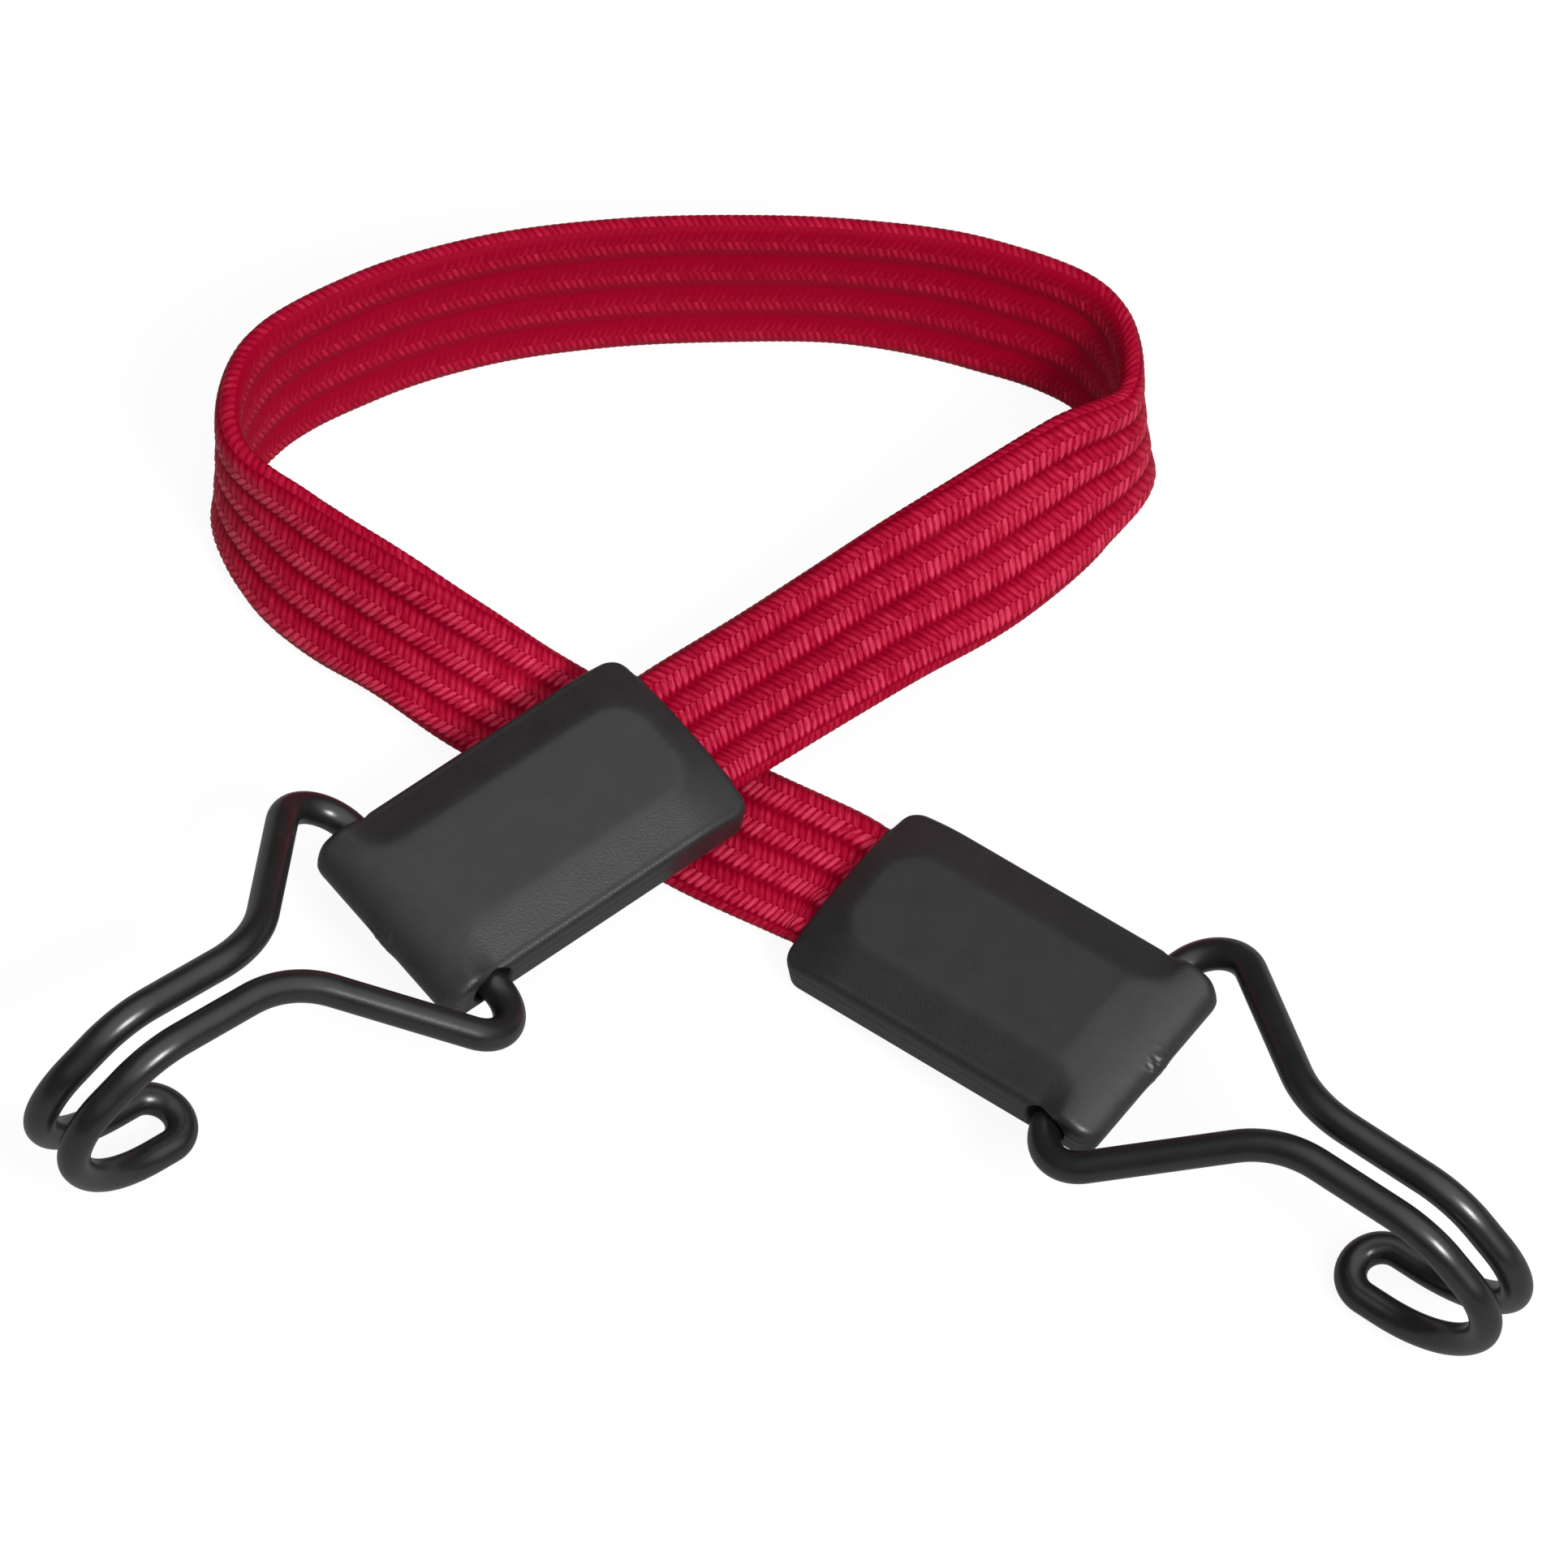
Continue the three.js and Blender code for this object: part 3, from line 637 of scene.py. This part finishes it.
def pad_grid():
    """Rings of points along the pad: first the slot from its bottom out to the mouth, then the
    moulding from the mouth to the end of the nose with the gate's scar on it. A ring runs over
    the top, down one side past the parting line, along the base, and up the other side."""
    nose_start = half_length - nose_run
    mouth = -half_length + mouth_round * (1 - np.cos(np.linspace(0, np.pi / 2, mouth_rings)))
    body = np.linspace(-half_length + mouth_round, nose_start, body_rings)[1:-1]
    nose = nose_start + nose_run * np.sin(np.linspace(0, np.radians(nose_sweep), nose_rings))
    x = np.r_[mouth, body, nose][:, None]
    width = pad_half_width - quarter(x + half_length, pad_corner) - quarter(half_length - x, pad_corner)
    inset = quarter(x + half_length, mouth_round)
    under = np.clip((x - (half_length - nose_undercut)) / nose_undercut, 0, 1)
    base = nose_level + (pad_base - nose_level) * np.sqrt(1 - under ** 2) + inset
    edge_top = pad_height(x, width - side_round) - inset
    radius = np.minimum(side_round, side_round_share * (edge_top - base))
    flat = width - radius

    top_y = flat * np.linspace(1, -1, top_points)[None, :]
    top_z = pad_height(x, top_y) - inset
    ends_z = top_z[:, -1:]
    bend = np.linspace(0, np.pi / 2, round_points)[None, 1:]
    round_y = flat + radius * np.sin(bend)
    round_z = ends_z - radius * (1 - np.cos(bend))
    wall_high, wall_low = ends_z - radius, base + radius
    parting = np.clip(0.0, wall_low, wall_high)
    wall_y = width + parting_flash * (np.abs(wall_shares) < parting_share)
    wall_z = parting + wall_shares * np.where(wall_shares > 0, wall_high - parting, parting - wall_low)
    foot_y = flat + radius * np.cos(bend)
    foot_z = base + radius * (1 - np.sin(bend))
    base_y = flat * np.linspace(-1, 1, base_points)[None, 1:-1]
    base_z = np.broadcast_to(base, base_y.shape)
    side_y = np.concatenate([round_y, wall_y, width, foot_y], axis=1)
    side_z = np.concatenate([round_z, wall_z, wall_low, foot_z], axis=1)
    ring_y = np.concatenate([top_y, -side_y, base_y, side_y[:, ::-1]], axis=1)
    ring_z = np.concatenate([top_z, side_z, base_z, side_z[:, ::-1]], axis=1)
    scar, torn = gate_scar(x, ring_y, ring_z)
    rings = np.stack([x + scar * torn, ring_y, ring_z + scar * (torn - gate_sunk)], axis=-1)

    rim = rings[0]
    spine = np.clip(rim[:, 1], -slot_spine, slot_spine)
    away = np.column_stack([rim[:, 1] - spine, rim[:, 2]])
    away /= np.linalg.norm(away, axis=1)[:, None]
    slot_y, slot_z = spine + slot_half * away[:, 0], slot_half * away[:, 1]
    slot = np.stack([np.column_stack([np.full(len(rim), slot_x), slot_y, slot_z])
                     for slot_x in slot_depth * slot_shares - half_length])
    return np.concatenate([slot, rings])


def hole_cutter(way):
    """A turned plug for one side hole: straight to its blind end, with a small flare where it
    breaks out of the pad's side."""
    depth = np.array([hole_bottom, hole_flare_from, hole_flare_to, hole_clear])
    radius = np.array([hole_radius, hole_radius, hole_flare, hole_flare])
    turn = np.linspace(0, 2 * np.pi, hole_sides, endpoint=False)
    x = pivot_x + radius[:, None] * np.cos(turn)
    z = pivot_z - way * radius[:, None] * np.sin(turn)
    y = np.broadcast_to(way * depth[:, None], x.shape)
    return tube_piece("hole_cutter", np.stack([x, y, z], axis=-1))


def drilled_pad():
    """The pad's mesh with both side holes cut, in the pad's own axes."""
    blank = tube_piece("pad_blank", pad_grid())
    for way in (-1, 1):
        cut = blank.modifiers.new("hole", "BOOLEAN")
        cut.operation = "DIFFERENCE"
        cut.solver = "EXACT"
        cut.object = hole_cutter(way)
    bpy.context.view_layer.update()
    drilled = bpy.data.meshes.new_from_object(blank.evaluated_get(bpy.context.evaluated_depsgraph_get()))
    for spare in [blank] + [cut.object for cut in blank.modifiers]:
        bpy.data.objects.remove(spare)
    return drilled


pad_mesh = drilled_pad()
pad_spots = np.zeros(len(pad_mesh.vertices) * 3)
pad_mesh.vertices.foreach_get("co", pad_spots)
pad_spots = pad_spots.reshape(-1, 3)
# Share of the mould's texture: none on the smooth plateau and nose, full on bevels and sides
texture_run = 0.0009
texture_late = 0.4
textured = np.clip(bevel_fall(pad_spots[:, 0], pad_spots[:, 1]) / texture_run - texture_late, 0, 1)

# Nylon: charcoal moulded plastic, satin on the plateau and finely sparked on the bevels
nylon_tints = [(0.3, (0.0210, 0.0210, 0.0222, 1)), (0.7, (0.0310, 0.0310, 0.0326, 1))]
spark_in_tone = 0.5
bevel_darker = 0.25
plateau_spark = 0.15
plateau_rough = 0.34
cloud_rougher = 0.08
bevel_rougher = 0.06
black_nylon = bpy.data.materials.new("black_nylon")
tree = blank_tree(black_nylon)
spot = wire_up(tree, "ShaderNodeTexCoord").outputs["Object"]
on_bevel = wire_up(tree, "ShaderNodeAttribute", {"attribute_name": "textured"}).outputs["Fac"]
spark = noise(tree, spot, scale=3600.0, detail=2.0)
cloud = noise(tree, spot, scale=260.0, detail=3.0)
tone = sums(tree, "MULTIPLY_ADD", spark, spark_in_tone, sums(tree, "MULTIPLY", cloud, 1 - spark_in_tone))
bevel_level = sums(tree, "MULTIPLY_ADD", on_bevel, -bevel_darker, 1.0)
nylon_shade = wire_up(tree, "ShaderNodeVectorMath", {"operation": "SCALE"},
                      no0=tinted(tree, tone, nylon_tints), Scale=bevel_level)
spark_share = sums(tree, "MULTIPLY_ADD", on_bevel, 1 - plateau_spark, plateau_spark)
spark_height = sums(tree, "MULTIPLY", spark, spark_share)
nylon_bump = wire_up(tree, "ShaderNodeBump", Strength=0.4, Distance=0.00012, Height=spark_height)
nylon_rough = sums(tree, "MULTIPLY_ADD", cloud, cloud_rougher, plateau_rough)
nylon_rough = sums(tree, "MULTIPLY_ADD", on_bevel, bevel_rougher, nylon_rough)
nylon = wire_up(tree, "ShaderNodeBsdfPrincipled", Base_Color=nylon_shade.outputs[0], Roughness=nylon_rough,
                Normal=nylon_bump.outputs[0], Specular_IOR_Level=0.5)
wire_up(tree, "ShaderNodeOutputMaterial", Surface=nylon.outputs[0])

for name, end in ends.items():
    mesh = pad_mesh.copy()
    mesh.name = name + "_moulded_pad"
    spots = pad_spots @ pad_axes(end).T + np.array(end["place"])
    mesh.vertices.foreach_set("co", spots.ravel())
    mesh.attributes.new("textured", "FLOAT", "POINT").data.foreach_set("value", textured)
    mesh.materials.clear()
    mesh.materials.append(black_nylon)
    mesh.polygons.foreach_set("use_smooth", np.ones(len(mesh.polygons), bool))
    mesh.update()
    pad = bpy.data.objects.new(name + "_moulded_pad", mesh)
    scene.collection.objects.link(pad)
    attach(pad, "cord")
    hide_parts(name + "_pad")

# Hooks: each one length of round steel wire, coated satin black. Its two ends turn inwards into
# the pad's side holes, the arms run together, and the doubled wire curls round into a hook.
wire_radius = 0.002
wire_spacing = 0.0059
eye_spacing = 0.0075
bar_end = 0.00895
wire_end_round = 0.0006
wire_steps = 520
wire_sides = 40
bend_step = 3.0
least_step = 1e-6
section_way = np.array([-0.42, 0.74, 0.53])


def wire_corners(spread):
    """Corners of the wire's middle line and their bend radii, from one end of the pivot bar along
    one half to the tip, and back along the mirrored half."""
    near, eye = wire_spacing / 2, eye_spacing / 2
    half = np.array([
        (0.0, bar_end, 0.0, 0.0), (0.0002, spread, -0.0002, 0.0058), (0.0264, near, 0.0126, 0.0160),
        (0.0477, near, 0.0146, 0.0109), (0.0597, near, 0.0046, 0.0093), (0.0526, eye, -0.0102, 0.0160),
        (0.0372, eye, -0.0117, eye),
    ])
    return np.vstack([half, half[::-1] * np.array([1, -1, 1, 1])])


def bent_wire(corners):
    """Middle line of the wire: straight runs between the corners, with an arc of the corner's
    bend radius, tangent to both runs, in place of each corner."""
    points = [corners[:1, :3]]
    for before, here, after in zip(corners[:-2], corners[1:-1], corners[2:]):
        into = here[:3] - before[:3]
        into /= np.linalg.norm(into)
        out = after[:3] - here[:3]
        out /= np.linalg.norm(out)
        angle = np.arccos(np.clip(into @ out, -1, 1))
        inner = (out - into) / np.linalg.norm(out - into)
        centre = here[:3] + inner * here[3] / np.cos(angle / 2)
        start = here[:3] - into * here[3] * np.tan(angle / 2) - centre
        sweep = np.linspace(0, angle, int(np.degrees(angle) / bend_step) + 2)[:, None]
        ahead = np.linalg.norm(start) * into
        points.append(centre + start * np.cos(sweep) + ahead * np.sin(sweep))
    points.append(corners[-1:, :3])
    line = np.vstack(points)
    kept = np.r_[True, np.linalg.norm(np.diff(line, axis=0), axis=1) > least_step]
    return line[kept]


def wire_grid(spread):
    """A round section carried along the wire at even steps, set by a fixed direction that the
    wire never follows, with its ends cut square and slightly rounded."""
    line = bent_wire(wire_corners(spread))
    run = np.r_[0, np.cumsum(np.linalg.norm(np.diff(line, axis=0), axis=1))]
    even = np.linspace(0, run[-1], wire_steps)
    line = np.stack([np.interp(even, run, line[:, k]) for k in range(3)], axis=-1)
    tangent = np.gradient(line, axis=0)
    tangent /= np.linalg.norm(tangent, axis=1)[:, None]
    first = section_way - (tangent @ section_way)[:, None] * tangent
    first /= np.linalg.norm(first, axis=1)[:, None]
    second = np.cross(tangent, first)
    from_end = np.minimum(even, even[-1] - even)
    radius = (wire_radius - quarter(from_end, wire_end_round))[:, None, None]
    turn = np.linspace(0, 2 * np.pi, wire_sides, endpoint=False)[None, :, None]
    out = np.cos(turn) * first[:, None, :] + np.sin(turn) * second[:, None, :]
    return line[:, None, :] + radius * out


# Coating: satin black paint over steel, a little uneven in colour, gloss and surface
coat_tints = [(0.35, (0.0090, 0.0091, 0.0095, 1)), (0.7, (0.0140, 0.0142, 0.0146, 1))]
coat_least_rough = 0.23
coat_rough_range = 0.10
black_coat = bpy.data.materials.new("satin_black_coat")
tree = blank_tree(black_coat)
spot = wire_up(tree, "ShaderNodeTexCoord").outputs["Object"]
cloud = noise(tree, spot, scale=180.0, detail=4.0)
speck = noise(tree, spot, scale=1400.0, detail=2.0)
coat_rough = sums(tree, "MULTIPLY_ADD", cloud, coat_rough_range, coat_least_rough)
coat_bump = wire_up(tree, "ShaderNodeBump", Strength=0.08, Distance=0.0001, Height=speck)
coat = wire_up(tree, "ShaderNodeBsdfPrincipled", Base_Color=tinted(tree, cloud, coat_tints),
               Roughness=coat_rough, Normal=coat_bump.outputs[0], Specular_IOR_Level=0.80)
wire_up(tree, "ShaderNodeOutputMaterial", Surface=coat.outputs[0])

for name, end in ends.items():
    swing = turned(0, end["tilt"]) @ turned(2, end["skew"]) @ turned(1, end["swing"])
    in_pad = wire_grid(end["spread"]) @ swing.T + np.array([pivot_x, end["shift"], pivot_z])
    hook = tube_piece(name + "_wire_hook", in_pad @ pad_axes(end).T + np.array(end["place"]))
    hook.data.materials.append(black_coat)
    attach(hook, name + "_hook")
    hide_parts(name + "_hook")
